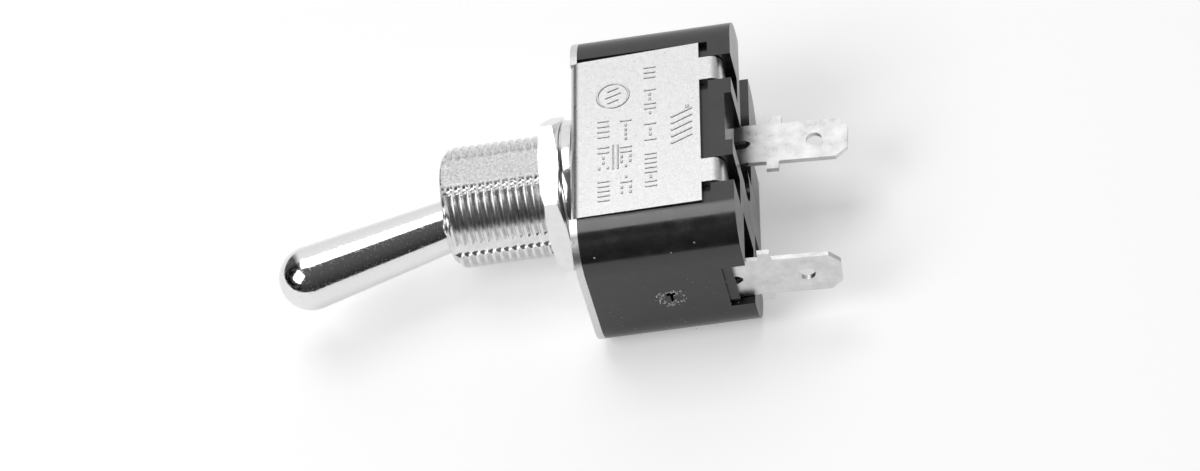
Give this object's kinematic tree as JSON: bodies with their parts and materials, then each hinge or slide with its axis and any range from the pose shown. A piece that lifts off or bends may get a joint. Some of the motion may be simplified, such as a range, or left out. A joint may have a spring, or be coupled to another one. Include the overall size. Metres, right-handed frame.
{
  "type": "panel toggle switch",
  "caption": "Toggle switch with a bat lever in a threaded bushing, a hex nut and lock washer, a stamped metal frame folded over a black moulded housing, and quick-connect blades at the rear.",
  "frame": {"origin": "on the bushing's axis at the frame's front face, where the panel's rear face lies", "axes": "+Z along the bushing out of the panel, +X along the housing away from the end terminal, -Y the wide side that carries the bushing's flat"},
  "size_m": [0.0292, 0.0162, 0.0566],
  "materials": {
    "phenolic": "glossy moulded",
    "steel": "satin plated",
    "nickel": "nickel plated",
    "chrome": "bright nickel plated",
    "tinned": "tin plated",
    "brass": "plain",
    "silver": "silver faced",
    "fibre": "vulcanised fibre"
  },
  "bodies": {
    "base": {"housing": "phenolic", "frame": "steel", "bushing": "nickel", "liner": "fibre", "common_terminal": "tinned", "end_terminal": "tinned", "common_rivet": "brass", "end_rivet": "brass", "cradle": "brass", "rocker_pin": "steel", "fixed_contact": "silver"},
    "lever": {"lever": "chrome", "pivot_pin": "steel", "plunger_spring": "steel"},
    "plunger": {"plunger": "tinned"},
    "rocker": {"rocker": "brass", "moving_contact": "silver"},
    "washer": {"lock_washer": "nickel"},
    "nut": {"hex_nut": "nickel"}
  },
  "joints": [
    {"name": "lever_hinge", "type": "hinge", "parent": "base", "child": "lever", "pos_m": [0, 0, 0.007], "axis": [0, 1, 0], "range_deg": [0, 35.34]},
    {"name": "plunger_slide", "type": "slide", "parent": "lever", "child": "plunger", "axis": [-0.3035, 0, 0.9528], "range_m": [0, 0.0005], "stiffness_N_per_m": 300, "springref_m": -0.001, "deforming": ["plunger_spring"]},
    {"name": "rocker_hinge", "type": "hinge", "parent": "base", "child": "rocker", "pos_m": [0, 0, -0.0072], "axis": [0, 1, 0], "range_deg": [-14, 0]},
    {"name": "washer_slide", "type": "slide", "parent": "base", "child": "washer", "axis": [0, 0, 1], "range_m": [0, 0.0119]},
    {"name": "nut_turn", "type": "hinge", "parent": "washer", "child": "nut", "pos_m": [0, 0, 0.0024], "axis": [0, 0, 1], "range_deg": [0, 5400]}
  ],
  "couplings": [
    {"joint": "rocker_hinge", "follows": "lever_hinge", "ratio": -0.39614},
    {"joint": "nut_turn", "follows": "washer_slide", "rad_per_m": 7916}
  ]
}
